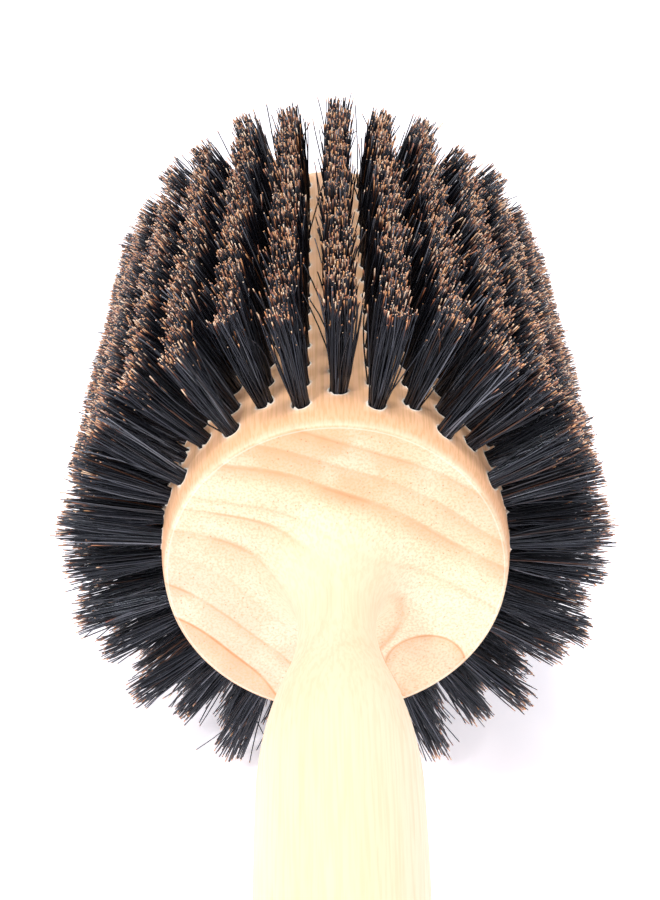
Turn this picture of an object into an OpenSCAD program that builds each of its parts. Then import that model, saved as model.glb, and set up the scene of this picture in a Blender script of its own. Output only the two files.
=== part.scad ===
// Round dry body brush: one piece of wood turned into a drilled barrel and a
// handle, with a folded tuft of bristle anchored by a flat wire in every hole.
//
// The brush's axis runs along Y, with the handle towards -Y and the barrel
// towards +Y. It lies on its bristles: Z = 0 is the surface under the tips,
// and X = 0, Y = 0 is the middle of the whole length.

/* [Barrel] */
// Diameter of the drilled barrel
barrel_d = 44; // [42:1:60]
// Length of the barrel
barrel_len = 84; // [50:1:120]
// Rounding of the barrel's two rims
rim_r = 0.4; // [0.2:0.1:1]
// Length over which the barrel eases down towards each rim
ease_len = 6; // [3:0.5:10]
// How far it eases down, as a radius
ease_drop = 0.7; // [0.3:0.1:1]

/* [Handle] */
// Length of the handle, from the barrel's face to the butt
handle_len = 136; // [120:1:180]
// Diameter at the narrowest place, just in front of the face
neck_d = 9.2; // [8:0.2:12]
// Distance from the face to the narrowest place
neck_at = 11.4; // [8:0.2:14]
// How far the hollow round the neck spreads over the face
cove_w = 6.9; // [5:0.1:9]
// Diameter of the swell where the hand starts
swell_d = 17.6; // [15:0.1:22]
// Distance from the face to the middle of the swell
swell_at = 41; // [34:1:50]
// Diameter of the waist under the palm
waist_d = 14.8; // [12:0.1:17]
// Diameter of the knob at the butt
knob_d = 17.4; // [15:0.1:22]
// Length of the rounded butt
butt_len = 12; // [8:1:14]

/* [Bristles] */
// Distance from one tuft to the next along a row
pitch = 5.1; // [5.1:0.05:7]
// Distance from the face to the first tuft of the rows that start nearest it
front_margin = 4.8; // [3:0.1:8]
// Least wood left behind the last tuft
rear_margin = 4; // [3:0.5:8]
// Free length of a tuft, from the barrel's surface to its tips
free_len = 13.4; // [8:0.1:20]
// Diameter of a tuft across its tips
tip_d = 4.9; // [3:0.1:5]

/* [Holes and anchors] */
// Diameter of a drilled hole, which its tuft fills
hole_d = 2.3; // [2:0.1:2.4]
// Depth of a drilled hole
hole_depth = 6.5; // [5:0.5:7]
// Thickness of the flat anchor wire
wire_t = 0.35; // [0.25:0.05:0.45]
// Height of the flat anchor wire
wire_h = 1.6; // [1:0.1:2]
// Bristle folded under the anchor, down to the hole's bottom
fold_t = 0.9; // [0.6:0.1:1.2]

/* [Hidden] */
$fn = 48;
// Thirty rows stand round the barrel, which each have a node of their own.
rows = 30;
row_angle = 360 / rows;
function row_name(n) = str("bristle_row_", n < 10 ? "0" : "", n);

barrel_r = barrel_d / 2;
tip_r = barrel_r + free_len;
bottom_r = barrel_r - hole_depth;
face_y = (handle_len - barrel_len) / 2;
// The anchor's corners just clear the hole's wall.
wire_clear = 0.01;
wire_w = 2 * (sqrt(pow(hole_d / 2, 2) - pow(wire_t / 2, 2)) - wire_clear);
// The tool that drills a hole starts outside the barrel.
drill_over = 1;

// The handle's turning points, as [radius, distance in front of the face].
neck = [neck_d / 2, neck_at];
swell = [swell_d / 2, swell_at];
knob = [knob_d / 2, handle_len - butt_len];
waist = [waist_d / 2, swell_at + 0.68 * (knob[1] - swell_at)];
// Steps along each curve of the turned outline.
curve_steps = 12;

// The barrel's end eases down along an arc that runs smoothly into the rim.
edge_r = barrel_r - ease_drop;
ease_turn = 2 * atan(ease_drop / ease_len);
ease_r = ease_len / sin(ease_turn);
rim_at = rim_r * (1 - sin(ease_turn));
rim_centre = [edge_r - rim_r * cos(ease_turn), rim_r];
ease_centre = [barrel_r - ease_r, rim_at + ease_len];

// Points of an S-shaped curve that leaves p and reaches q parallel to the axis.
// It is two arcs, and share is the first one's part of the length. The point q
// itself is left to the next curve.
function ogee(p, q, share) =
    let (
        rise = q[0] - p[0],
        run = q[1] - p[1],
        turn = 2 * atan(rise / run),
        r = share * run / sin(turn),
        r2 = (1 - share) * run / sin(turn)
    )
    [for (i = [0:2 * curve_steps - 1])
        let (a = turn * i / curve_steps, b = 2 * turn - a)
        i < curve_steps
            ? [p[0] + r * (1 - cos(a)), p[1] + r * sin(a)]
            : [q[0] - r2 * (1 - cos(b)), q[1] - r2 * sin(b)]];

// Points of the arc round c, radius r, from angle a to angle b. Its last point
// is left to the next curve too.
function arc(c, r, a, b, steps) =
    [for (i = [0:steps - 1])
        let (at = a + (b - a) * i / steps)
        c + r * [cos(at), sin(at)]];

// Half outline of one end of the barrel, from its rim to where it is straight.
// Each point is [radius, distance from the end].
barrel_end = concat(
    arc(rim_centre, rim_r, -90, -ease_turn, 4),
    arc(ease_centre, ease_r, -ease_turn, 0, 6),
    [[barrel_r, rim_at + ease_len]]
);

// Half outline of the turned wood. Its first value is the radius, and its
// second the distance in front of the face, so the barrel's is negative.
outline = concat(
    [[0, -barrel_len]],
    [for (p = barrel_end) [p[0], p[1] - barrel_len]],
    [for (i = [len(barrel_end) - 1:-1:0]) [barrel_end[i][0], -barrel_end[i][1]]],
    [for (i = [0:curve_steps - 1])
        let (a = 90 * i / curve_steps)
        [neck[0] + cove_w * (1 - sin(a)), neck[1] * (1 - cos(a))]],
    ogee(neck, swell, 0.38),
    ogee(swell, waist, 0.5),
    ogee(waist, knob, 0.5),
    [for (i = [0:curve_steps - 1])
        let (a = 90 * i / curve_steps)
        [knob[0] * cos(a), knob[1] + butt_len * sin(a)]],
    [[0, handle_len]]
);

// Every second row is set back by half a pitch, the top one included.
function row_start(n) = front_margin + (n % 2 == 1 ? pitch / 2 : 0);
function row_count(n) = 1 + floor((barrel_len - rear_margin - row_start(n)) / pitch);

// Stands its children in every hole of row n. Their Z axis becomes the hole's
// axis, pointing out, with its zero on the brush's axis. Row 1 is on top, and
// the rest follow clockwise, as seen from the handle.
module along_row(n) {
    for (i = [0:row_count(n) - 1])
        translate([0, face_y + row_start(n) + i * pitch, tip_r])
            rotate([0, (n - 1) * row_angle, 0])
                children();
}

// The wood: barrel, neck and handle in one piece, with a blind hole per tuft.
module turned_body() {
    color([0.96, 0.87, 0.70])
        difference() {
            translate([0, face_y, tip_r])
                rotate([90, 0, 0])
                    rotate_extrude($fn = 96)
                        polygon(outline);
            for (n = [1:rows])
                along_row(n)
                    translate([0, 0, bottom_r])
                        cylinder(d = hole_d, h = hole_depth + drill_over);
        }
}

// One tuft: it fills its hole, is folded round its anchor and flares to its tips.
module tuft() {
    difference() {
        rotate_extrude($fn = 24)
            polygon([
                [0, bottom_r],
                [hole_d / 2, bottom_r],
                [hole_d / 2, barrel_r],
                [tip_d / 2, tip_r],
                [0, tip_r]
            ]);
        translate([-wire_t / 2, -hole_d, bottom_r + fold_t])
            cube([wire_t, 2 * hole_d, wire_h]);
    }
}

// One row of tufts, each of them a separate solid.
module bristle_row(n) {
    color([0.13, 0.11, 0.12])
        along_row(n)
            tuft();
}

// The flat wires that hold the tufts, each of them a separate solid.
module wire_anchors() {
    color([0.72, 0.73, 0.75])
        for (n = [1:rows])
            along_row(n)
                translate([-wire_t / 2, -wire_w / 2, bottom_r + fold_t])
                    cube([wire_t, wire_w, wire_h]);
}

turned_body();
wire_anchors();
for (n = [1:rows])
    bristle_row(n);
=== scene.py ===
import math

import bpy
import numpy as np
from mathutils import Matrix, Vector


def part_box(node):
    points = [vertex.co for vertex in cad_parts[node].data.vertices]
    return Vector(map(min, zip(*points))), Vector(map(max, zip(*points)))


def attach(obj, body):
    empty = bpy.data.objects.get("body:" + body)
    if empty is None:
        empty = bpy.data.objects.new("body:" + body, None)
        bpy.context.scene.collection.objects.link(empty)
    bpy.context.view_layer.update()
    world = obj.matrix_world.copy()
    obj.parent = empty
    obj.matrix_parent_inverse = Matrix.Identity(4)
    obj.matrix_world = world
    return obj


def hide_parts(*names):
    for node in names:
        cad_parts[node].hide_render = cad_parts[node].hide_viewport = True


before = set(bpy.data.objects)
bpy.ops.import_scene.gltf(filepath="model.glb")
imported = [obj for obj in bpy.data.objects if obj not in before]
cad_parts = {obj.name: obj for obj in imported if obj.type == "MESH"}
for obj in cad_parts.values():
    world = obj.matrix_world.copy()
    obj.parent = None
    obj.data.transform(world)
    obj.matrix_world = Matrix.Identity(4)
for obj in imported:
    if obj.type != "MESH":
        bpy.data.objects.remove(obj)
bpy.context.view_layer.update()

MM = 0.001
SEED = 4170
# The built meshes' UV maps have this name.
BAKE_MAP = "OFBake"

# ---------------------------------------------------------------- the frame
# The brush's axis runs along Y, at x = 0 and the height of the wood's middle.
# An angle round it starts at the top and runs clockwise, as seen from the handle.
WOOD = "turned_body"
WIRES = "wire_anchors"
ROWS = sorted(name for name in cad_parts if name.startswith("bristle_row_"))
wood_low, wood_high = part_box(WOOD)
tuft_low, tuft_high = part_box(ROWS[0])
AXIS_Z = (wood_low.z + wood_high.z) / 2
BARREL_R = (wood_high.x - wood_low.x) / 2
END_Y = wood_high.y
TIP_R = tuft_high.z - AXIS_Z
BOTTOM_R = tuft_low.z - AXIS_Z
TUFT_TIP_D = tuft_high.x - tuft_low.x
ROW_ANGLE = 2 * math.pi / len(ROWS)

# As in CAD: the holes' distance along a row and their diameter, the anchor wire's
# thickness and the barrel's length.
PITCH = 5.1 * MM
HOLE_D = 2.3 * MM
WIRE_T = 0.35 * MM
BARREL_LEN = 84 * MM
FACE_Y = END_Y - BARREL_LEN


def row_places(node):
    """The y of each hole of a row."""
    low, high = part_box(node)
    count = 1 + round((high.y - low.y - TUFT_TIP_D) / PITCH)
    return low.y + TUFT_TIP_D / 2 + PITCH * np.arange(count)


def round_axis(radius, angle, y):
    """Points at a radius and an angle round the brush's axis, as an array of x, y and z."""
    radius, angle, y = np.broadcast_arrays(radius, angle, y)
    return np.stack([radius * np.sin(angle), y, AXIS_Z + radius * np.cos(angle)], axis=-1)


# ------------------------------------------------------------------- camera
# The camera stands in front of the face, above the handle, and looks down at it.
# Both places are measured from the middle of the face.
CAMERA_AT = Vector((-3.9, -179.0, 120.2)) * MM
CAMERA_AIM = Vector((-0.53, 31.3, 0.0)) * MM
CAMERA_ROLL = math.radians(1.0)
LENS_MM = 69.4
SENSOR_MM = 36.0


def add_camera():
    face = Vector((0, FACE_Y, AXIS_Z))
    data = bpy.data.cameras.new("camera")
    data.lens = LENS_MM
    data.sensor_width = SENSOR_MM
    data.clip_start = 10 * MM
    camera = bpy.data.objects.new("camera", data)
    bpy.context.scene.collection.objects.link(camera)
    turn = (CAMERA_AIM - CAMERA_AT).to_track_quat("-Z", "Y").to_matrix().to_4x4()
    roll = Matrix.Rotation(CAMERA_ROLL, 4, "Z")
    camera.matrix_world = Matrix.Translation(face + CAMERA_AT) @ turn @ roll
    bpy.context.scene.camera = camera


add_camera()

# ---------------------------------------------------------------- node help


# A mix node has sockets for each kind of value: these are for numbers and for colours.
MIX_NUMBERS = (2, 3, 0)
MIX_COLOURS = (6, 7, 2)


class Nodes:
    """A material's node tree, with short ways to add and join nodes."""

    def __init__(self, name):
        self.material = bpy.data.materials.new(name)
        self.material.use_nodes = True
        self.tree = self.material.node_tree
        self.tree.nodes.clear()
        self.shader = self.add("ShaderNodeBsdfPrincipled")
        output = self.add("ShaderNodeOutputMaterial")
        self.join(self.shader.outputs[0], output.inputs["Surface"])

    def add(self, kind, **settings):
        node = self.tree.nodes.new(kind)
        for key, value in settings.items():
            setattr(node, key, value)
        return node

    def join(self, source, target):
        self.tree.links.new(source, target)

    def feed(self, target, value):
        if isinstance(value, bpy.types.NodeSocket):
            self.join(value, target)
        else:
            target.default_value = value

    def maths(self, operation, a, b=0.0):
        node = self.add("ShaderNodeMath", operation=operation)
        self.feed(node.inputs[0], a)
        self.feed(node.inputs[1], b)
        return node.outputs[0]

    def mix_with(self, kind, sockets, factor, a, b):
        """a where factor is 0, and b where it is 1."""
        node = self.add("ShaderNodeMix", data_type=kind)
        first, second, result = sockets
        self.feed(node.inputs["Factor"], factor)
        self.feed(node.inputs[first], a)
        self.feed(node.inputs[second], b)
        return node.outputs[result]

    def mix(self, factor, a, b):
        return self.mix_with("RGBA", MIX_COLOURS, factor, a, b)

    def blend(self, factor, a, b):
        return self.mix_with("FLOAT", MIX_NUMBERS, factor, a, b)

    def ramp(self, value, stops):
        node = self.add("ShaderNodeValToRGB")
        band = node.color_ramp
        while len(band.elements) < len(stops):
            band.elements.new(0.5)
        for element, (place, colour) in zip(band.elements, stops):
            element.position = place
            element.color = colour
        self.feed(node.inputs[0], value)
        return node.outputs[0]

    def curve(self, value, stops):
        """A grey ramp, used as a number from 0 to 1."""
        return self.ramp(value, [(place, (v, v, v, 1)) for place, v in stops])

    def attribute(self, name):
        return self.add("ShaderNodeAttribute", attribute_name=name).outputs["Fac"]

    def place(self):
        return self.add("ShaderNodeTexCoord").outputs["Object"]

    def grain(self, vector, across, along):
        """Coordinates in grains: across the brush's axis and along it, in metres."""
        node = self.add("ShaderNodeMapping")
        node.inputs["Scale"].default_value = (1 / across, 1 / along, 1 / across)
        self.join(vector, node.inputs["Vector"])
        return node.outputs[0]

    def noise(self, vector, detail=2.0):
        node = self.add("ShaderNodeTexNoise")
        self.join(vector, node.inputs["Vector"])
        node.inputs["Scale"].default_value = 1.0
        node.inputs["Detail"].default_value = detail
        return node.outputs["Fac"]

    def dots(self, vector):
        """Each cell's distance from its own dot, and a random number of the cell's own."""
        node = self.add("ShaderNodeTexVoronoi")
        self.join(vector, node.inputs["Vector"])
        node.inputs["Scale"].default_value = 1.0
        parts = self.add("ShaderNodeSeparateColor")
        self.join(node.outputs["Color"], parts.inputs[0])
        return node.outputs["Distance"], parts.outputs[0]

    def axis(self, vector, name):
        """One of a vector's three numbers, by the name X, Y or Z."""
        parts = self.add("ShaderNodeSeparateXYZ")
        self.join(vector, parts.inputs[0])
        return parts.outputs[name]

    def from_line(self, place, x, z):
        """The distance from a line that runs along Y."""
        dx = self.maths("SUBTRACT", self.axis(place, "X"), x)
        dz = self.maths("SUBTRACT", self.axis(place, "Z"), z)
        squares = self.maths("ADD", self.maths("MULTIPLY", dx, dx), self.maths("MULTIPLY", dz, dz))
        return self.maths("SQRT", squares)

    def sideways(self, place, stops):
        """A curve over x, from 0 at the brush's middle to 1 at the barrel's right side."""
        return self.curve(self.maths("DIVIDE", self.axis(place, "X"), BARREL_R), stops)

    def end_grain(self):
        """1 where the surface is cut across the grain, and 0 where it runs along it."""
        normal = self.add("ShaderNodeNewGeometry").outputs["Normal"]
        return self.maths("ABSOLUTE", self.axis(normal, "Y"))

    def bump(self, height, distance, strength=1.0):
        node = self.add("ShaderNodeBump")
        node.inputs["Distance"].default_value = distance
        node.inputs["Strength"].default_value = strength
        self.join(height, node.inputs["Height"])
        self.join(node.outputs[0], self.shader.inputs["Normal"])


# --------------------------------------------------------------------- wood
# The growth rings are centred below the brush and left of it. The inner ones
# have a nearer middle than the outer ones, so they curve more.
OUTER_PITH = (-27 * MM, AXIS_Z - 64 * MM)
INNER_PITH = (-40 * MM, AXIS_Z - 40 * MM)
# The inner middle's distances, moved to agree with the outer's at the left rim.
INNER_SHIFT = 19.7 * MM
# Between these distances from the outer middle, one set passes into the other.
RINGS_PASS = (62 * MM, 74 * MM)
# The rings' own scale, from 0 to 1, lies between these distances.
RINGS_FROM, RINGS_TO = 40 * MM, 110 * MM
# Each ring: its outer edge's distance, its band's width and how dark it gets.
RINGS = [
    (47.0, 4.0, 0.55), (53.0, 4.0, 0.35), (58.6, 5.5, 0.75), (62.7, 1.5, 0.45), (66.5, 1.0, 0.10),
    (70.2, 2.6, 0.60), (73.4, 1.6, 0.42), (75.4, 1.0, 0.30), (80.9, 2.6, 0.76), (84.2, 1.9, 0.62),
    (87.7, 2.4, 0.70), (92.0, 3.0, 0.45), (97.5, 2.5, 0.55), (103.0, 3.0, 0.4),
]
# A ring ends in a thin dark line, which stops within this distance. Just before
# the line and at it, a ring has these shares of its darkness.
RING_EDGE = 0.20 * MM
RING_BEFORE, RING_LINE = 0.55, 1.3
# A small set of its own lies below the neck and right of it, inside this radius.
KNOT_PITH = (11.5 * MM, AXIS_Z - 14.3 * MM)
KNOT_R = 5.0 * MM
# How dark it is, from its middle to twice that radius.
KNOT_RINGS = [(0.0, 0.20), (0.36, 0.20), (0.48, 0.38), (0.50, 0.75), (0.53, 0.0)]
# All rings sway in and out, over this width in all. The waves have these sizes across
# the grain and along it, and are this rich in smaller ones.
SWAY = 3.0 * MM
SWAY_WAVES = (16 * MM, 110 * MM)
SWAY_DETAIL = 1.0


def ring_stops():
    """Each ring darkens slowly outwards, ends in a thin line, and stops at once."""
    def share(distance):
        return (distance * MM - RINGS_FROM) / (RINGS_TO - RINGS_FROM)

    edge = RING_EDGE / (RINGS_TO - RINGS_FROM)
    stops = []
    for at, width, dark in RINGS:
        stops.append((share(at - width), 0.0))
        stops.append((share(at) - edge, dark * RING_BEFORE))
        stops.append((share(at), dark * RING_LINE))
        stops.append((share(at) + edge, 0.0))
    return stops


def growth_rings(m, place):
    """The place on the rings' scale, and how dark the rings make the wood, from 0 to 1."""
    outer = m.from_line(place, *OUTER_PITH)
    inner = m.maths("ADD", m.from_line(place, *INNER_PITH), INNER_SHIFT)
    low, high = RINGS_PASS
    share = m.maths("DIVIDE", m.maths("SUBTRACT", outer, low), high - low)
    # The curve keeps the share between 0 and 1.
    share = m.curve(share, [(0.0, 0.0), (1.0, 1.0)])
    sway = m.maths("SUBTRACT", m.noise(m.grain(place, *SWAY_WAVES), SWAY_DETAIL), 0.5)
    sway = m.maths("MULTIPLY", sway, SWAY)
    far = m.maths("ADD", m.blend(share, inner, outer), sway)
    across = m.maths("DIVIDE", m.maths("SUBTRACT", far, RINGS_FROM), RINGS_TO - RINGS_FROM)
    # A colour ramp holds 32 stops, so the rings take two.
    stops = ring_stops()
    half = len(stops) // 2
    rings = m.maths("ADD", m.curve(across, stops[:half]), m.curve(across, stops[half:]))
    knot = m.maths("ADD", m.from_line(place, *KNOT_PITH), sway)
    knot = m.curve(m.maths("DIVIDE", knot, 2 * KNOT_R), KNOT_RINGS)
    return across, m.maths("MAXIMUM", rings, knot)


# The end grain's colour along the rings' scale: pink below, cream in the middle, peach above.
END_GRAIN = [
    (0.08, (0.84, 0.56, 0.42, 1)), (0.34, (0.84, 0.60, 0.45, 1)), (0.41, (0.84, 0.69, 0.51, 1)),
    (0.53, (0.84, 0.77, 0.55, 1)), (0.60, (0.84, 0.52, 0.33, 1)), (0.75, (0.83, 0.49, 0.29, 1)),
]
CREAM = (0.84, 0.76, 0.55, 1)
NEARLY_WHITE = (0.90, 0.79, 0.61, 1)
PINK = (0.83, 0.58, 0.42, 1)
# The other surfaces' colours, outside the patches and in them. The barrel's side is the same wood as the
# handle, painted peachier and brighter as warm light bounced between the tufts and the wood.
HANDLE_WOOD = ((0.84, 0.68, 0.49, 1), (0.84, 0.63, 0.40, 1))
BARREL_WOOD_AND_BOUNCE = ((0.92, 0.54, 0.32, 1), (0.90, 0.47, 0.26, 1))
RING_BROWN = (0.60, 0.28, 0.12, 1)
FIBRE_BROWN = (0.72, 0.40, 0.19, 1)
VESSEL_BROWN = (0.40, 0.17, 0.06, 1)
# Torn fibres are near white, and the same white paints a highlight along the sharp rim.
TORN_AND_HIGHLIGHT_WHITE = (1.0, 0.96, 0.88, 1)
# The sizes of each kind of mark, across the grain and along it.
PATCH_SIZE = (9 * MM, 60 * MM)
CLEARED_SIZE = (6 * MM, 90 * MM)
WEAR_SIZE = (5 * MM, 30 * MM)
FIBRE_SIZE = (0.32 * MM, 14 * MM)
VESSEL_SIZE = (0.55 * MM, 14 * MM)
# How rich in smaller marks the noise of the first three kinds is.
PATCH_DETAIL, CLEARED_DETAIL, WEAR_DETAIL = 4.0, 5.0, 4.0
# Over the noise: how pink a patch is, how pale a cleared place, and how dark a ring
# and a fibre.
PATCHES = [(0.45, 0.0), (0.66, 0.55)]
CLEARED = [(0.48, 0.0), (0.64, 0.50)]
RING_WEAR = [(0.34, 0.65), (0.60, 1.40)]
FIBRES = [(0.44, 0.0), (0.62, 1.0)]
# A vessel is a dot in the middle of its cell, and some cells have a fainter one or none.
VESSEL_DOT = [(0.10, 1.0), (0.24, 0.0)]
VESSEL_CHANCE = [(0.25, 0.0), (1.00, 1.0)]
# How strongly each kind shows on the handle's long grain and on end grain.
RING_SHOWS = (0.22, 1.0)
FIBRE_SHOWS = (0.18, 0.45)
VESSEL_SHOWS = (0.10, 0.62)
# How strongly the fibres show on the barrel's side.
SIDE_FIBRES = 0.60
# A surface passes from long grain to end grain as it turns to face along the brush.
END_GRAIN_SHARE = [(0.45, 0.0), (0.97, 1.0)]
# The peach part starts here on the rings' scale.
PEACH_STARTS = [(0.54, 0.0), (0.60, 1.0)]
# Towards the right, but not at the very rim, it is paler by these shares, and its
# rings show this strongly.
RIGHT_PALER = [(0.10, 0.0), (0.50, 0.62), (0.80, 0.52), (0.98, 0.0)]
RIGHT_RINGS = 0.45
# The wood's roughness, and how much rougher its fibres are.
SMOOTH, FIBRE_ROUGH = 0.46, 0.12
WOOD_GLOSS = 0.35
# Fibres and vessels are sunk this deep, and vessels are deeper than fibres.
PORE_DEPTH = 0.02 * MM
VESSEL_DEEPER = 2.0
PORE_STRENGTH = 0.5


def wood_material():
    m = Nodes("pale_wood")
    place = m.place()
    across, rings = growth_rings(m, place)
    end_grain = m.ramp(across, END_GRAIN)
    # The peach part is paler on the right, but not at the very rim.
    right = m.maths("MULTIPLY", m.curve(across, PEACH_STARTS), m.sideways(place, RIGHT_PALER))
    end_grain = m.mix(right, end_grain, CREAM)
    # Patches make it a little pinker in places, and nearly white in others.
    patch = m.curve(m.noise(m.grain(place, *PATCH_SIZE), PATCH_DETAIL), PATCHES)
    end_grain = m.mix(patch, end_grain, PINK)
    cleared = m.curve(m.noise(m.grain(place, *CLEARED_SIZE), CLEARED_DETAIL), CLEARED)
    end_grain = m.mix(cleared, end_grain, NEARLY_WHITE)
    cut_across = m.curve(m.end_grain(), END_GRAIN_SHARE)
    turned = m.mix(cut_across, m.mix(patch, *HANDLE_WOOD), end_grain)
    side = m.attribute("side")
    # The barrel's side takes its colour with painted warm bounce light from the tufts.
    base = m.mix(side, turned, m.mix(patch, *BARREL_WOOD_AND_BOUNCE))
    # Each ring's darkness comes and goes along it.
    wear = m.curve(m.noise(m.grain(place, *WEAR_SIZE), WEAR_DETAIL), RING_WEAR)
    wear = m.maths("MULTIPLY", wear, m.blend(cut_across, *RING_SHOWS))
    wear = m.maths("MULTIPLY", wear, m.blend(right, 1.0, RIGHT_RINGS))
    ringed = m.mix(m.maths("MULTIPLY", rings, wear), base, RING_BROWN)
    # Fine fibres: a mottle on end grain, and streaks along the grain elsewhere.
    fibres = m.curve(m.noise(m.grain(place, *FIBRE_SIZE)), FIBRES)
    streaks = m.blend(side, m.blend(cut_across, *FIBRE_SHOWS), SIDE_FIBRES)
    mottled = m.mix(m.maths("MULTIPLY", fibres, streaks), ringed, FIBRE_BROWN)
    # Vessels: single dark dots on end grain, and thin lines elsewhere.
    distance, chance = m.dots(m.grain(place, *VESSEL_SIZE))
    vessels = m.maths("MULTIPLY", m.curve(distance, VESSEL_DOT), m.curve(chance, VESSEL_CHANCE))
    marks = m.maths("MULTIPLY", vessels, m.blend(cut_across, *VESSEL_SHOWS))
    colour = m.mix(marks, mottled, VESSEL_BROWN)
    # Torn fibres round the holes turn whiter, and so does a thin painted highlight along the face's sharp
    # rim.
    colour = m.mix(m.attribute("torn"), colour, TORN_AND_HIGHLIGHT_WHITE)
    m.join(colour, m.shader.inputs["Base Color"])
    roughness = m.maths("ADD", SMOOTH, m.maths("MULTIPLY", fibres, FIBRE_ROUGH))
    m.join(roughness, m.shader.inputs["Roughness"])
    m.shader.inputs["Specular IOR Level"].default_value = WOOD_GLOSS
    pores = m.maths("ADD", fibres, m.maths("MULTIPLY", vessels, VESSEL_DEEPER))
    m.bump(pores, -PORE_DEPTH, PORE_STRENGTH)
    return m.material


# Places nearer than this are taken as the same.
TINY = 2e-6
# Points round a hole, and so round the border of its cell, which has four sides.
HOLE_STEPS = 24
SIDE_STEPS = HOLE_STEPS // 4
ROUND_STEPS = SIDE_STEPS * len(ROWS)
# The cells start half a pitch in front of the first hole, which is in the rows
# with even numbers, and end as far behind the last, in the rows that are set back.
CELLS_Y = min(row_places(ROWS[1])) - PITCH / 2
CELLS_END_Y = max(row_places(ROWS[0])) + PITCH / 2
# The raised lip of a drilled hole: how wide it is, and how high on average.
LIP_W = 0.26 * MM
LIP_H = 0.09 * MM
# The lip's height and width vary round the hole by these shares, and a few chips
# stand higher.
LIP_VARIES = 0.5
LIP_HEIGHTS = (0.1, 6.0)
LIP_WIDTHS = (0.6, 1.5)
CHIPS = 0.07
CHIP_HEIGHTS = (1.0, 5.0)
# The lip's crest is at this share of its width, and the hole's edge at this share
# of its height.
CREST_AT, EDGE_UP = 0.4, 0.6
# How torn the lip's foot and a low lip look, and how strong the painted highlight along the barrel's
# sharp rim is.
FOOT_TORN, LIP_TORN, RIM_HIGHLIGHT = 0.1, 0.35, 0.35
# A lip this many times as high as the mean adds 1 to how torn a low one looks.
TORN_HEIGHT = 3
# The rings of points on the face, as shares from the hollow to the rim, and the one
# on the far end, as a share of its radius.
FACE_RINGS = (0.35, 0.7)
END_RING = 0.5
# The flat face's rim is kept crisp by a ring of points this far inside it.
RIM_GUARD = 0.15 * MM
# The hollow round the neck has this many points in CAD, and this many steps
# between each two here.
COVE_POINTS, COVE_STEPS = 13, 3
# Round the rim, end grain passes into the barrel's long grain and its painted bounce light over this
# length.
SIDE_FROM = 1.5 * MM
# Points this far out, as a share of the barrel's radius, aren't inside its flat ends.
OUTER_SHARE = 0.9


def outline_of_cad():
    """The turned wood's outline, read off its CAD node, as y and radius.

    The handle's runs from the butt's middle to the face, and the barrel's from
    the face's rim to the far end's rim. The barrel bulges all the way, so its
    outline is the upper hull of its points, which leaves the holes out.
    """
    points = np.array([v.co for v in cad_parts[WOOD].data.vertices])
    points = np.stack([points[:, 1], np.hypot(points[:, 0], points[:, 2] - AXIS_Z)], axis=1)
    points = np.unique(points.round(6), axis=0)
    handle = {}
    for y, radius in points[points[:, 0] < FACE_Y - TINY]:
        handle[y] = max(radius, handle.get(y, 0.0))
    on_face = points[np.abs(points[:, 0] - FACE_Y) <= TINY]
    cove_end = on_face[on_face[:, 1] > TINY][0]
    handle = np.array([*sorted(handle.items()), cove_end])
    hull = []
    for point in points[points[:, 0] >= FACE_Y - TINY]:
        while len(hull) > 1 and np.cross(hull[-1] - hull[-2], point - hull[-1]) >= 0:
            hull.pop()
        hull.append(point)
    barrel = np.array(hull)
    return handle, barrel[barrel[:, 1] > BARREL_R * OUTER_SHARE]


def smooth_line(points, before, after, steps):
    """A smooth curve through points, with steps of it between each two. before and
    after are the points that would come next at its ends."""
    full = np.array([before, *points, after])
    at = np.concatenate([[0], np.cumsum(np.linalg.norm(np.diff(full, axis=0), axis=1))])
    slope = (full[2:] - full[:-2]) / (at[2:] - at[:-2])[:, None]
    gap = np.diff(at)[1:-1, None, None]
    t = (np.arange(steps) / steps)[None, :, None]
    a, b = points[:-1, None], points[1:, None]
    da, db = slope[:-1, None] * gap, slope[1:, None] * gap
    curve = (2*t**3 - 3*t**2 + 1) * a + (t**3 - 2*t**2 + t) * da
    curve = curve + (3*t**2 - 2*t**3) * b + (t**3 - t**2) * db
    return np.concatenate([curve.reshape(-1, 2), points[-1:]])


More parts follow.
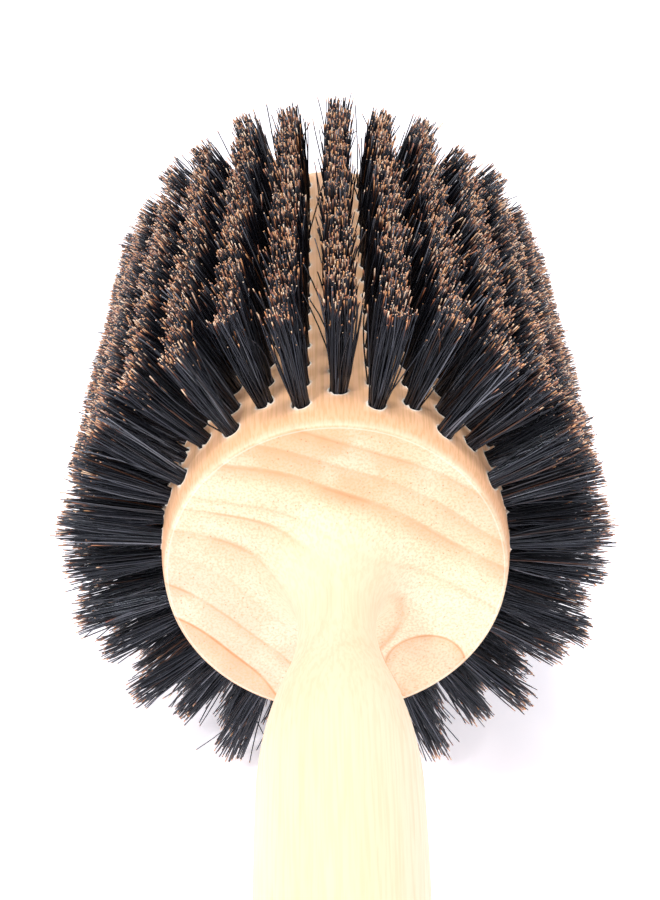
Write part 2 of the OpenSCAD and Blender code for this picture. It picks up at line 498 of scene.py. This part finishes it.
class Shell:
    """A mesh under construction: points, faces, each corner's place on the bake map."""

    def __init__(self):
        self.points, self.torn, self.side, self.faces, self.map = [], [], [], [], []
        self.count = 0

    def add(self, points, torn=0.0, side=0.0):
        """Adds points and returns their numbers, in the same arrangement. The other two values say how
        pale the surface turns, from torn fibres round the holes and from a painted highlight at the rim,
        and how far it is the barrel's side, not end grain."""
        flat = points.reshape(-1, 3)
        self.points.append(flat)
        self.torn.append(np.broadcast_to(torn, points.shape[:-1]).reshape(-1))
        self.side.append(np.broadcast_to(side, points.shape[:-1]).reshape(-1))
        numbers = np.arange(self.count, self.count + len(flat)).reshape(points.shape[:-1])
        self.count += len(flat)
        return numbers

    def skin(self, numbers, places):
        """Fills a grid of points with quads. places are the grid's own places on the map."""
        for grid, into in ((numbers, self.faces), (places, self.map)):
            corners = [grid[:-1, :-1], grid[:-1, 1:], grid[1:, 1:], grid[1:, :-1]]
            rest = grid.shape[2:]
            into.append(np.stack(corners, axis=2).reshape(-1, 4, *rest))

    def fan(self, numbers, places, middle, middle_place):
        """Closes a loop of points with triangles round one more point."""
        here = np.stack([numbers[:-1], numbers[1:], np.full(len(numbers) - 1, middle)], axis=1)
        spot = np.broadcast_to(middle_place, places[:-1].shape)
        self.faces.append(here)
        self.map.append(np.stack([places[:-1], places[1:], spot], axis=1))

    def build(self, name):
        mesh = bpy.data.meshes.new(name)
        loops = np.concatenate([part.reshape(-1) for part in self.faces])
        sizes = np.concatenate([np.full(len(part), part.shape[1]) for part in self.faces])
        fill_mesh(mesh, np.concatenate(self.points), loops, sizes)
        layer = mesh.uv_layers.new(name=BAKE_MAP)
        layer.uv.foreach_set("vector", np.concatenate([part.reshape(-1) for part in self.map]))
        for key, parts in (("torn", self.torn), ("side", self.side)):
            mesh.attributes.new(key, "FLOAT", "POINT").data.foreach_set("value", np.concatenate(parts))
        piece = bpy.data.objects.new(name, mesh)
        bpy.context.scene.collection.objects.link(piece)
        return piece


def fill_mesh(mesh, points, loops, sizes):
    """Gives an empty mesh its points and faces. sizes are the faces' numbers of corners."""
    mesh.vertices.add(len(points))
    mesh.vertices.foreach_set("co", np.ascontiguousarray(points, np.float32).reshape(-1))
    mesh.loops.add(len(loops))
    mesh.loops.foreach_set("vertex_index", loops.astype(np.int32))
    mesh.polygons.add(len(sizes))
    mesh.polygons.foreach_set("loop_start", np.concatenate([[0], np.cumsum(sizes)[:-1]]).astype(np.int32))
    mesh.update(calc_edges=True)
    mesh.polygons.foreach_set("use_smooth", np.ones(len(sizes), bool))


# The bake map's rectangles, as left, bottom, width and height.
FACE_CHART = (0.005, 0.005, 0.41, 0.41)
END_CHART = (0.425, 0.005, 0.26, 0.26)
HOLE_CHART = (0.425, 0.30, 0.20, 0.10)
BARREL_CHART = (0.005, 0.425, 0.68, 0.57)
HANDLE_CHART = (0.70, 0.005, 0.295, 0.99)
# A round face's chart is this many radii across.
CHART_SPAN = 2.02


def on_chart(chart, u, v):
    left, bottom, width, height = chart
    u, v = np.broadcast_arrays(u, v)
    return np.stack([left + width * u, bottom + height * v], axis=-1)


def on_disc(chart, points):
    """Places on a chart of a flat round face, straight from the points."""
    across = points[..., 0] / (CHART_SPAN * BARREL_R)
    up = (points[..., 2] - AXIS_Z) / (CHART_SPAN * BARREL_R)
    return on_chart(chart, 0.5 + across, 0.5 + up)


def hole_lips(rng):
    """How high the torn lip stands round one hole, as a share of its mean height."""
    height = 1.0 + LIP_VARIES * rng.standard_normal(HOLE_STEPS)
    height = (height + np.roll(height, 1)) / 2
    chips = rng.random(HOLE_STEPS) < CHIPS
    height[chips] += rng.uniform(*CHIP_HEIGHTS, chips.sum())
    return np.clip(height, *LIP_HEIGHTS)


def drilled_cell(shell, rng, border, angle, y, radius_at):
    """Adds one hole's rings of points, from halfway to its cell's border down to its
    bottom, and the bottom's middle. Returns the rings' numbers and the middle's."""
    # Each ring starts towards the border's first corner.
    turn = -0.75 * math.pi + 2 * math.pi * np.arange(HOLE_STEPS) / HOLE_STEPS
    lip = LIP_H * hole_lips(rng)
    torn = np.clip(LIP_TORN + lip / (TORN_HEIGHT * LIP_H), 0, 1)
    wide = LIP_W * rng.uniform(*LIP_WIDTHS, HOLE_STEPS)
    hole_r = HOLE_D / 2

    def ring(reach, lift=0.0):
        side = reach * np.cos(turn)
        at_y = y + reach * np.sin(turn)
        surface = radius_at(at_y)
        return round_axis(surface + lift, angle + np.arcsin(side / surface), at_y)

    def sunk(height):
        """A ring on the hole's wall, level across the hole."""
        side = hole_r * np.cos(turn)
        at_y = y + hole_r * np.sin(turn)
        return round_axis(np.hypot(side, height), angle + np.arctan2(side, height), at_y)

    # Each ring of points, with how torn the wood is there.
    rings = [
        ((border.reshape(-1, 3) + ring(hole_r + 2 * LIP_W)) / 2, 0.0),
        (ring(hole_r + wide), FOOT_TORN),
        (ring(hole_r + CREST_AT * wide, lip), torn),
        (ring(hole_r, EDGE_UP * lip), torn),
        (sunk(BOTTOM_R), 0.0),
    ]
    numbers = [shell.add(points, shade, 1.0) for points, shade in rings]
    return numbers, shell.add(round_axis(BOTTOM_R, angle, y)[None])[0]


def close(loop):
    """A loop of points or places, with its first repeated at its end."""
    return np.concatenate([loop, loop[:1]])


def turned_wood(material):
    """The turned wood as one closed mesh, with every hole's torn lip."""
    rng = np.random.default_rng(SEED)
    shell = Shell()
    handle, barrel = outline_of_cad()

    def radius_at(y):
        return np.interp(y, barrel[:, 0], barrel[:, 1])

    def lathe(line, angles):
        return round_axis(line[:, 1][:, None], angles[None], line[:, 0][:, None])

    # Columns of points stand at equal angles, with the first row's cells round the top.
    turn = 2 * math.pi * (np.arange(ROUND_STEPS) / ROUND_STEPS) - ROW_ANGLE / 2
    wrap = np.arange(ROUND_STEPS + 1) % ROUND_STEPS
    share = np.arange(ROUND_STEPS + 1) / ROUND_STEPS

    # The handle, from the butt's middle to the edge of the hollow in the face.
    start, end = handle[0], handle[-1]
    cove_next = (end[0], 2 * end[1] - handle[-2][1])
    straight, cove = handle[1:-COVE_POINTS], handle[-COVE_POINTS:]
    cove = smooth_line(cove, straight[-1], cove_next, COVE_STEPS)
    line = np.concatenate([straight, cove])
    long = np.concatenate([[0], np.cumsum(np.linalg.norm(np.diff(line, axis=0), axis=1))])
    long = (long + line[0][1]) / (long[-1] + line[0][1])
    numbers = shell.add(lathe(line, turn))
    shell.skin(numbers[:, wrap], on_chart(HANDLE_CHART, share[None], long[:, None]))
    middle = shell.add(round_axis(0.0, 0.0, start[0])[None])[0]
    shell.fan(numbers[0][wrap][::-1], on_chart(HANDLE_CHART, share, long[0])[::-1], middle,
              on_chart(HANDLE_CHART, 0.5, 0.0))
    cove_ring = numbers[-1]

    # The flat face and its rim.
    flat = np.array([[FACE_Y, end[1] + (barrel[0][1] - end[1]) * k] for k in FACE_RINGS])
    guard = np.array([[FACE_Y, barrel[0][1] - RIM_GUARD]])
    flat = np.concatenate([flat, guard, barrel[:1]])
    face_points = lathe(flat, turn)
    # The sharp rim is a little paler: a painted highlight.
    pale = np.zeros((len(flat), 1))
    pale[-1] = RIM_HIGHLIGHT
    numbers = np.concatenate([cove_ring[None], shell.add(face_points, pale)])
    places = np.concatenate([lathe(handle[-1:], turn), face_points])
    shell.skin(numbers[:, wrap], on_disc(FACE_CHART, places)[:, wrap])
    face_ring = numbers[-1]

    # The rim and the eased front of the barrel, up to the first cells.
    near = barrel[(barrel[:, 0] > FACE_Y + TINY) & (barrel[:, 0] < CELLS_Y)]
    first = np.array([[CELLS_Y, radius_at(CELLS_Y)]])
    front = np.concatenate([barrel[:1], near, first])
    side = np.clip((front[1:, :1] - FACE_Y) / SIDE_FROM, 0, 1)
    numbers = np.concatenate([face_ring[None], shell.add(lathe(front[1:], turn), side=side)])

    def barrel_map(y):
        return on_chart(BARREL_CHART, share[None], ((y - FACE_Y) / BARREL_LEN)[:, None])

    shell.skin(numbers[:, wrap], barrel_map(front[:, 0]))
    front_ring = numbers[-1]

    # The far end's rim and its flat face.
    near = barrel[(barrel[:, 0] > CELLS_END_Y) & (barrel[:, 0] < END_Y - TINY)]
    last = np.array([[CELLS_END_Y, radius_at(CELLS_END_Y)]])
    back = np.concatenate([last, near, barrel[-1:]])
    numbers = shell.add(lathe(back, turn), side=np.clip((END_Y - back[:, :1]) / SIDE_FROM, 0, 1))
    shell.skin(numbers[:, wrap], barrel_map(back[:, 0]))
    back_ring, end_ring = numbers[0], numbers[-1]
    flat = np.array([[END_Y, barrel[-1][1] - RIM_GUARD], [END_Y, barrel[-1][1] * END_RING]])
    flat_points = lathe(flat, turn)
    numbers = np.concatenate([end_ring[None], shell.add(flat_points)])
    places = on_disc(END_CHART, np.concatenate([lathe(barrel[-1:], turn), flat_points]))
    shell.skin(numbers[:, wrap], places[:, wrap])
    middle = shell.add(round_axis(0.0, 0.0, END_Y)[None])[0]
    shell.fan(numbers[-1][wrap], places[-1][wrap], middle, on_chart(END_CHART, 0.5, 0.5))

    # The drilled part: a grid of points, and in each cell a hole instead of quads.
    step = PITCH / SIDE_STEPS
    steps = round((CELLS_END_Y - CELLS_Y) / step)
    ys = CELLS_Y + step * np.arange(steps + 1)
    used = np.full((steps + 1, ROUND_STEPS), -1)
    used[0], used[-1] = front_ring, back_ring
    grid_points = lathe(np.stack([ys, radius_at(ys)], axis=1), turn)
    grid_map = barrel_map(ys)
    plain = np.ones((steps, ROUND_STEPS), bool)
    cells = []
    for row, node in enumerate(ROWS):
        for y in row_places(node):
            low = round((y - PITCH / 2 - CELLS_Y) / step)
            left = row * SIDE_STEPS
            plain[low:low + SIDE_STEPS, left:left + SIDE_STEPS] = False
            cells.append((row, y, low, left))
    # The points inside a cell aren't needed, so only its border's are added.
    wanted = np.zeros_like(used, bool)
    wanted[:, ::SIDE_STEPS] = True
    for row, y, low, left in cells:
        for at in (low, low + SIDE_STEPS):
            wanted[at, left:left + SIDE_STEPS] = True
    for low, left in zip(*np.nonzero(plain)):
        for at, over in ((0, 0), (0, 1), (1, 0), (1, 1)):
            wanted[low + at, (left + over) % ROUND_STEPS] = True
    wanted &= used < 0
    used[wanted] = shell.add(grid_points[wanted], side=1.0)
    for low, left in zip(*np.nonzero(plain)):
        columns = np.array([left, left + 1])
        shell.skin(used[low:low + 2][:, columns % ROUND_STEPS], grid_map[low:low + 2][:, columns])

    # A cell's border runs round from its first corner, along the angle and then along y.
    there = np.arange(SIDE_STEPS)
    near, far = np.zeros(SIDE_STEPS, int), np.full(SIDE_STEPS, SIDE_STEPS)
    over = np.concatenate([there, far, SIDE_STEPS - there, near])
    along = np.concatenate([near, there, far, SIDE_STEPS - there])
    hole_share = np.arange(HOLE_STEPS + 1) / HOLE_STEPS
    hole_map = np.stack([on_chart(HOLE_CHART, hole_share, v) for v in (0.0, 1.0)])
    # On the map, the rings from the border to the hole's edge are these shares of
    # the border's own size.
    inward = [1.0, 0.75, 0.62, 0.56, 0.50]
    for row, y, low, left in cells:
        columns = (left + over) % ROUND_STEPS
        border = grid_points[low + along, columns]
        border_map = grid_map[low + along, left + over]
        numbers, middle = drilled_cell(shell, rng, border, row * ROW_ANGLE, y, radius_at)
        loops = np.stack([close(loop) for loop in [used[low + along, columns], *numbers]])
        centre = border_map.mean(axis=0)
        places = np.stack([close(centre + (border_map - centre) * k) for k in inward])
        shell.skin(loops[:5], places)
        shell.skin(loops[4:], hole_map)
        shell.fan(loops[5], hole_map[1], middle, on_chart(HOLE_CHART, 0.5, 1.0))

    piece = shell.build("turned_wood")
    piece.data.materials.append(material)
    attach(piece, "root")
    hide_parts(WOOD)
    return piece


# ----------------------------------------------------------------- bristles
BRISTLES = 78
BRISTLE_SIDES = 4
BRISTLE_D = 0.205 * MM
# Bristles are this thick as a share of that, and their tips as a share of the rest.
THICKNESS = (0.80, 1.12)
TIP_THIN = 0.78
# Places along a bristle from the hole's mouth to its tip. One more is at the bottom.
STEPS = np.array([0.0, 0.18, 0.38, 0.60, 0.82, 1.0])
RINGS_EACH = len(STEPS) + 1
GOLDEN = math.pi * (3 - math.sqrt(5))
# The bake map gives each bristle an upright strip, this many to a line.
STRIPS = 256
LINES = 5
# Where a strip starts in its share of the line, and how much of it the strip takes,
# across and upwards.
STRIP_LEFT, STRIP_WIDE = 0.25, 0.5
STRIP_FOOT, STRIP_TALL = 0.02, 0.96


def strip_map(count):
    """Each ring's place on the bake map, left and right side of the bristle's strip."""
    number = np.arange(count)
    left = (number % STRIPS + STRIP_LEFT) / STRIPS
    bottom = (number // STRIPS) / LINES
    up = (STRIP_FOOT + STRIP_TALL * np.arange(RINGS_EACH) / (RINGS_EACH - 1)) / LINES
    u = np.stack([left, left + STRIP_WIDE / STRIPS], axis=1)
    return u, bottom[:, None] + up


def tube_mesh(name, paths, radii, values):
    """One mesh of many tubes. paths is bristle by ring by xyz, and radii bristle by ring."""
    count, rings = paths.shape[:2]
    sides = BRISTLE_SIDES
    along = np.gradient(paths, axis=1)
    along /= np.linalg.norm(along, axis=2, keepdims=True)
    across = np.cross(along, (0.0, 1.0, 0.0))
    across /= np.linalg.norm(across, axis=2, keepdims=True)
    over = np.cross(along, across)
    turn = np.arange(sides) * 2 * math.pi / sides
    spokes = across[:, :, None] * np.cos(turn)[:, None] + over[:, :, None] * np.sin(turn)[:, None]
    points = paths[:, :, None] + spokes * radii[:, :, None, None]
    ends = paths[:, -1] + along[:, -1] * radii[:, -1, None]
    each = rings * sides + 1
    points = np.concatenate([points.reshape(count, -1, 3), ends[:, None]], axis=1)

    ring = np.repeat(np.arange(rings - 1), sides)
    side = np.tile(np.arange(sides), rings - 1)
    here = ring * sides + side
    there = ring * sides + (side + 1) % sides
    quads = np.stack([here, there, there + sides, here + sides], axis=1)
    last = (rings - 1) * sides + np.arange(sides)
    caps = np.stack([last, np.roll(last, -1), np.full(sides, each - 1)], axis=1)
    foot = np.arange(sides)[::-1]
    shift = np.arange(count)[:, None] * each
    parts = [(quads, 4), (caps, 3), (foot, sides)]
    loops = np.concatenate([(part.reshape(-1) + shift).reshape(-1) for part, corners in parts])
    sizes = np.concatenate([np.full(count * part.size // corners, corners) for part, corners in parts])
    mesh = bpy.data.meshes.new(name)
    fill_mesh(mesh, points.reshape(-1, 3), loops, sizes)

    # All four sides of a bristle share its strip.
    u, v = strip_map(count)
    quad_u = np.broadcast_to(u[:, [0, 1, 1, 0]][:, None], (count, len(quads), 4))
    quad_v = np.stack([v[:, ring], v[:, ring], v[:, ring + 1], v[:, ring + 1]], axis=2)
    cap_u = np.broadcast_to(u[:, [0, 1, 0]][:, None], (count, sides, 3))
    cap_v = np.broadcast_to(v[:, -1, None, None], cap_u.shape)
    foot_u = np.broadcast_to(u[:, :1], (count, sides))
    foot_v = np.broadcast_to(v[:, :1], (count, sides))
    pairs = [(quad_u, quad_v), (cap_u, cap_v), (foot_u, foot_v)]
    places = np.concatenate([np.stack(pair, axis=-1).reshape(-1) for pair in pairs])
    mesh.uv_layers.new(name=BAKE_MAP).uv.foreach_set("vector", places.astype(np.float32))

    for key, value in values.items():
        rounds = np.repeat(value[:, :, None], sides, axis=2).reshape(count, -1)
        rounds = np.concatenate([rounds, value[:, -1:]], axis=1)
        data = mesh.attributes.new(key, "FLOAT", "POINT").data
        data.foreach_set("value", rounds.reshape(-1).astype(np.float32))
    piece = bpy.data.objects.new(name, mesh)
    bpy.context.scene.collection.objects.link(piece)
    return piece


# Every bristle has a random tone. Most are black with a faint blue, a painted sheen; some are grey-blue,
# a painted highlight along the whole bristle; and a few brown.
BODY_AND_SHEEN_TONES = [
    (0.00, (0.0050, 0.0052, 0.0085, 1)), (0.66, (0.0075, 0.0073, 0.0110, 1)),
    (0.76, (0.0260, 0.0270, 0.0380, 1)), (0.86, (0.1900, 0.1950, 0.2300, 1)),
    (0.87, (0.0080, 0.0065, 0.0090, 1)), (0.97, (0.0160, 0.0100, 0.0090, 1)),
    (0.985, (0.11, 0.045, 0.022, 1)),
]
# The split ends go from cream to orange and brown.
END_TONES = [
    (0.00, (0.72, 0.28, 0.11, 1)), (0.20, (0.94, 0.75, 0.56, 1)), (0.33, (0.34, 0.10, 0.040, 1)),
    (0.48, (0.88, 0.46, 0.21, 1)), (0.62, (0.22, 0.066, 0.045, 1)), (0.76, (0.94, 0.65, 0.42, 1)),
    (0.88, (0.31, 0.088, 0.040, 1)), (1.00, (0.80, 0.39, 0.16, 1)),
]
# Just below the end a bristle is dark brown, in between these two.
BELOW_TONES = ((0.10, 0.030, 0.015, 1), (0.17, 0.062, 0.028, 1))
# From the tip inwards, the end's tone passes into that brown, and this into the body's.
END_TO_BELOW = [(0.22, 0.0), (0.52, 1.0)]
TIP_TO_BODY = [(0.50, 0.0), (1.0, 1.0)]
SHEEN_TONES = [(0.0, 0.17), (0.5, 0.36), (0.75, 0.20), (1.0, 0.30)]
BRISTLE_GLOSS = 0.60
GLOSS_TINT = (0.80, 0.87, 1.0, 1.0)


def bristle_material():
    """from_tip runs from 0 at a bristle's tip to 1 where its pale part ends."""
    m = Nodes("boar_bristle")
    from_tip = m.attribute("from_tip")
    tone = m.attribute("tone")
    below = m.mix(tone, *BELOW_TONES)
    tip = m.mix(m.curve(from_tip, END_TO_BELOW), m.ramp(tone, END_TONES), below)
    # Below the pale part a bristle takes its body tone, whose grey-blue ones are painted highlights.
    colour = m.mix(m.curve(from_tip, TIP_TO_BODY), tip, m.ramp(tone, BODY_AND_SHEEN_TONES))
    m.join(colour, m.shader.inputs["Base Color"])
    m.join(m.curve(tone, SHEEN_TONES), m.shader.inputs["Roughness"])
    m.shader.inputs["Specular IOR Level"].default_value = BRISTLE_GLOSS
    m.shader.inputs["Specular Tint"].default_value = GLOSS_TINT
    return m.material


# How far a tuft flares, as a share of the CAD tuft, and how far it leans.
FLARE = (0.76, 0.96)
LEAN = 0.26 * MM
# A gap shows between a row's tufts, because they spread less along the brush than
# sideways: these shares of the flare and of each bristle's own way.
FLARE_SHARES = (0.80, 1.0)
OWN_SHARES = (0.85, 1.0)
# How far each bristle goes its own way, for the loose ones and for the rest.
LOOSE = 0.25
LOOSE_WAY, OWN_WAY = 0.95 * MM, 0.26 * MM
BOW = 0.24 * MM
# A few strays leave the tuft in a long curve.
STRAYS = 0.022
STRAY_WAY = 1.8 * MM
STRAY_BACK = 0.25
STRAY_BOW = 0.5 * MM
# How much shorter a bristle and its whole tuft are, some of them more, and some longer.
SHORTER, TUFT_SHORTER = 0.85 * MM, 0.3 * MM
MUCH_SHORTER, MUCH_MOST = 0.24, 4.2 * MM
LONGER, LONGER_MOST = 0.04, 0.7 * MM
# How a bristle's own way grows from the hole's mouth to the tip.
SPREAD_POWER = 1.15
# Bristles stand this far above the hole's bottom.
FOOT_CLEAR = 0.1 * MM
# The pale part's length is drawn from this gamma curve, except on dark ends.
PALE_SHAPE, PALE_SCALE = 3.0, 0.34 * MM
DARK_ENDS, DARK_LEN = 0.50, 0.12 * MM


def bristle_row(number, node, material):
    """One row's tufts of single bristles, as one mesh."""
    rng = np.random.default_rng(SEED + 1 + number)
    places = row_places(node)
    tufts = len(places)
    shape = (tufts, BRISTLES)
    angle = number * ROW_ANGLE
    out = np.array((math.sin(angle), 0.0, math.cos(angle)))
    side = np.array((math.cos(angle), 0.0, -math.sin(angle)))
    lengthwise = np.array((0.0, 1.0, 0.0))

    # At the hole's mouth the bristles are packed evenly over the round. A pair of
    # numbers is a place across the hole: along the brush, and sideways.
    order = np.arange(BRISTLES)
    disc = (HOLE_D - BRISTLE_D) / 2 * np.sqrt((order + 0.5) / BRISTLES)
    turn = order * GOLDEN + rng.uniform(0, 2 * math.pi, (tufts, 1))
    mouth = np.stack([disc * np.cos(turn), disc * np.sin(turn)], axis=-1)
    # At the bottom they stand on either side of the anchor wire.
    bottom = mouth.copy()
    clear = WIRE_T / 2 + BRISTLE_D
    bottom[..., 1] = np.where(bottom[..., 1] < 0, -1, 1) * np.maximum(np.abs(bottom[..., 1]), clear)

    flare = TUFT_TIP_D / HOLE_D * rng.uniform(*FLARE, (tufts, 1, 1))
    lean = rng.normal(0, LEAN, (tufts, 1, 2))
    own = np.where(rng.random(shape) < LOOSE, LOOSE_WAY, OWN_WAY)[..., None]
    own = rng.normal(0, 1, shape + (2,)) * own
    end = mouth * flare * FLARE_SHARES + lean + own * OWN_SHARES
    bow = rng.normal(0, BOW, shape + (2,))
    stray = rng.random(shape) < STRAYS
    away = rng.normal(0, STRAY_WAY, shape + (2,))
    end[stray] += away[stray]
    bow[stray] -= STRAY_BACK * away[stray] + rng.normal(0, STRAY_BOW, (stray.sum(), 2))

    short = np.abs(rng.normal(0, SHORTER, shape))
    short += np.abs(rng.normal(0, TUFT_SHORTER, (tufts, 1)))
    much = rng.random(shape) < MUCH_SHORTER
    short += much * rng.uniform(0, MUCH_MOST, shape)
    longer = rng.random(shape) < LONGER
    short -= longer * rng.uniform(0, LONGER_MOST, shape)
    reach = TIP_R - short
    # A lower bristle is no longer than to the surface that the brush lies on.
    if out[2] < 0:
        room = AXIS_Z - BRISTLE_D / 2 + end[..., 1] * side[2]
        reach = np.minimum(reach, room / -out[2])

    t = STEPS[None, None, :, None]
    spread = mouth[:, :, None] + (end - mouth)[:, :, None] * t ** SPREAD_POWER
    spread = spread + bow[:, :, None] * 4 * t * (1 - t)
    spread = np.concatenate([bottom[:, :, None], spread], axis=2)
    height = BARREL_R + (reach - BARREL_R)[:, :, None] * STEPS
    height = np.concatenate([np.full(shape + (1,), BOTTOM_R + FOOT_CLEAR), height], axis=2)
    paths = (
        height[..., None] * out
        + spread[..., :1] * lengthwise
        + spread[..., 1:] * side
        + places[:, None, None, None] * lengthwise
        + np.array((0, 0, AXIS_Z))
    )
    count = tufts * BRISTLES
    paths = paths.reshape(count, RINGS_EACH, 3)
    # Nor does its bow reach below that surface.
    paths[..., 2] = np.maximum(paths[..., 2], BRISTLE_D / 2)

    thick = BRISTLE_D / 2 * rng.uniform(*THICKNESS, (count, 1))
    radii = thick * np.concatenate([[1.0], 1 - (1 - TIP_THIN) * STEPS ** 2])
    free = (reach - BARREL_R).reshape(count, 1)
    pale = rng.gamma(PALE_SHAPE, PALE_SCALE, (count, 1))
    dark_end = rng.random((count, 1)) < DARK_ENDS
    pale = np.where(dark_end, DARK_LEN, pale)
    from_tip = free * (1 - np.concatenate([[0.0], STEPS])) / pale
    tone = np.repeat(rng.random((count, 1)), RINGS_EACH, axis=1)
    values = {"from_tip": from_tip, "tone": tone}
    piece = tube_mesh(f"bristles_{number + 1:02d}", paths, radii, values)
    piece.data.materials.append(material)
    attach(piece, "root")
    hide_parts(node)
    return piece


# -------------------------------------------------------------------- wires


# Drawn steel has fine marks along the wire, of this size and between these tones.
DRAWN_SIZE = (0.1 * MM, 3 * MM)
DRAWN_TONES = [(0.3, (0.5, 0.5, 0.52, 1)), (0.7, (0.75, 0.75, 0.77, 1))]
WIRE_ROUGH = 0.35


def wire_material():
    m = Nodes("anchor_wire")
    drawn = m.noise(m.grain(m.place(), *DRAWN_SIZE))
    m.join(m.ramp(drawn, DRAWN_TONES), m.shader.inputs["Base Color"])
    m.shader.inputs["Metallic"].default_value = 1.0
    m.shader.inputs["Roughness"].default_value = WIRE_ROUGH
    return m.material


turned_wood(wood_material())
bristle = bristle_material()
for number, node in enumerate(ROWS):
    bristle_row(number, node, bristle)
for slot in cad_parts[WIRES].material_slots:
    slot.material = wire_material()

# -------------------------------------------------------------------- stage


# The table glows faintly, as a studio light table does.
FLOOR_HALF = 2.0
FLOOR_COLOUR = (0.93, 0.91, 0.97, 1)
FLOOR_ROUGH, FLOOR_GLOSS = 0.7, 0.2
GLOW_COLOUR = (0.94, 0.92, 1.0, 1)
GLOW = 0.50
# Lamps: where each stands, where it aims, its diameter in metres and its power in watts.
LAMPS = {
    "key": ((-0.42, -0.44, 0.60), (0, 0.0, 0.03), 0.14, 3.1),
    "fill": ((0.50, -0.45, 0.50), (0, 0.0, 0.03), 0.14, 0.6),
    "top": ((0.02, 0.02, 0.80), (0, 0.05, 0.03), 0.20, 2.5),
}
# The studio is white, but dimmer high up in front of the brush. Its strength rises
# between these two directions along Y, and again down to the horizon. The larger counts.
DIM_FRONT = {"from": -0.6, "to": 0.3, "low": 0.55, "high": 1.0}
BRIGHT_HORIZON = {"from": 0.25, "to": 0.45, "low": 1.0, "high": 0.0}


def add_floor():
    half = FLOOR_HALF
    corners = [(-half, -half, 0), (half, -half, 0), (half, half, 0), (-half, half, 0)]
    mesh = bpy.data.meshes.new("floor")
    mesh.from_pydata(corners, [], [(0, 1, 2, 3)])
    floor = bpy.data.objects.new("floor", mesh)
    bpy.context.scene.collection.objects.link(floor)
    m = Nodes("white_table")
    m.shader.inputs["Base Color"].default_value = FLOOR_COLOUR
    m.shader.inputs["Roughness"].default_value = FLOOR_ROUGH
    m.shader.inputs["Specular IOR Level"].default_value = FLOOR_GLOSS
    m.shader.inputs["Emission Color"].default_value = GLOW_COLOUR
    m.shader.inputs["Emission Strength"].default_value = GLOW
    mesh.materials.append(m.material)


def add_light(name, at, aim, size, power):
    data = bpy.data.lights.new(name, "AREA")
    data.shape = "DISK"
    data.size = size
    data.energy = power
    lamp = bpy.data.objects.new(name, data)
    lamp.location = at
    lamp.rotation_euler = (Vector(aim) - Vector(at)).to_track_quat("-Z", "Y").to_euler()
    bpy.context.scene.collection.objects.link(lamp)


def add_world():
    world = bpy.data.worlds.new("studio")
    world.use_nodes = True
    tree = world.node_tree
    direction = tree.nodes.new("ShaderNodeTexCoord")
    parts = tree.nodes.new("ShaderNodeSeparateXYZ")
    tree.links.new(direction.outputs["Generated"], parts.inputs[0])
    larger = tree.nodes.new("ShaderNodeMath")
    larger.operation = "MAXIMUM"
    for slot, (axis, ends) in enumerate((("Y", DIM_FRONT), ("Z", BRIGHT_HORIZON))):
        share = tree.nodes.new("ShaderNodeMapRange")
        share.inputs["From Min"].default_value = ends["from"]
        share.inputs["From Max"].default_value = ends["to"]
        share.inputs["To Min"].default_value = ends["low"]
        share.inputs["To Max"].default_value = ends["high"]
        tree.links.new(parts.outputs[axis], share.inputs["Value"])
        tree.links.new(share.outputs[0], larger.inputs[slot])
    background = tree.nodes["Background"]
    background.inputs["Color"].default_value = (1.0, 1.0, 1.0, 1)
    tree.links.new(larger.outputs[0], background.inputs["Strength"])
    bpy.context.scene.world = world


add_floor()
add_world()
for name, values in LAMPS.items():
    add_light(name, *values)
bpy.context.scene.view_settings.view_transform = "Standard"
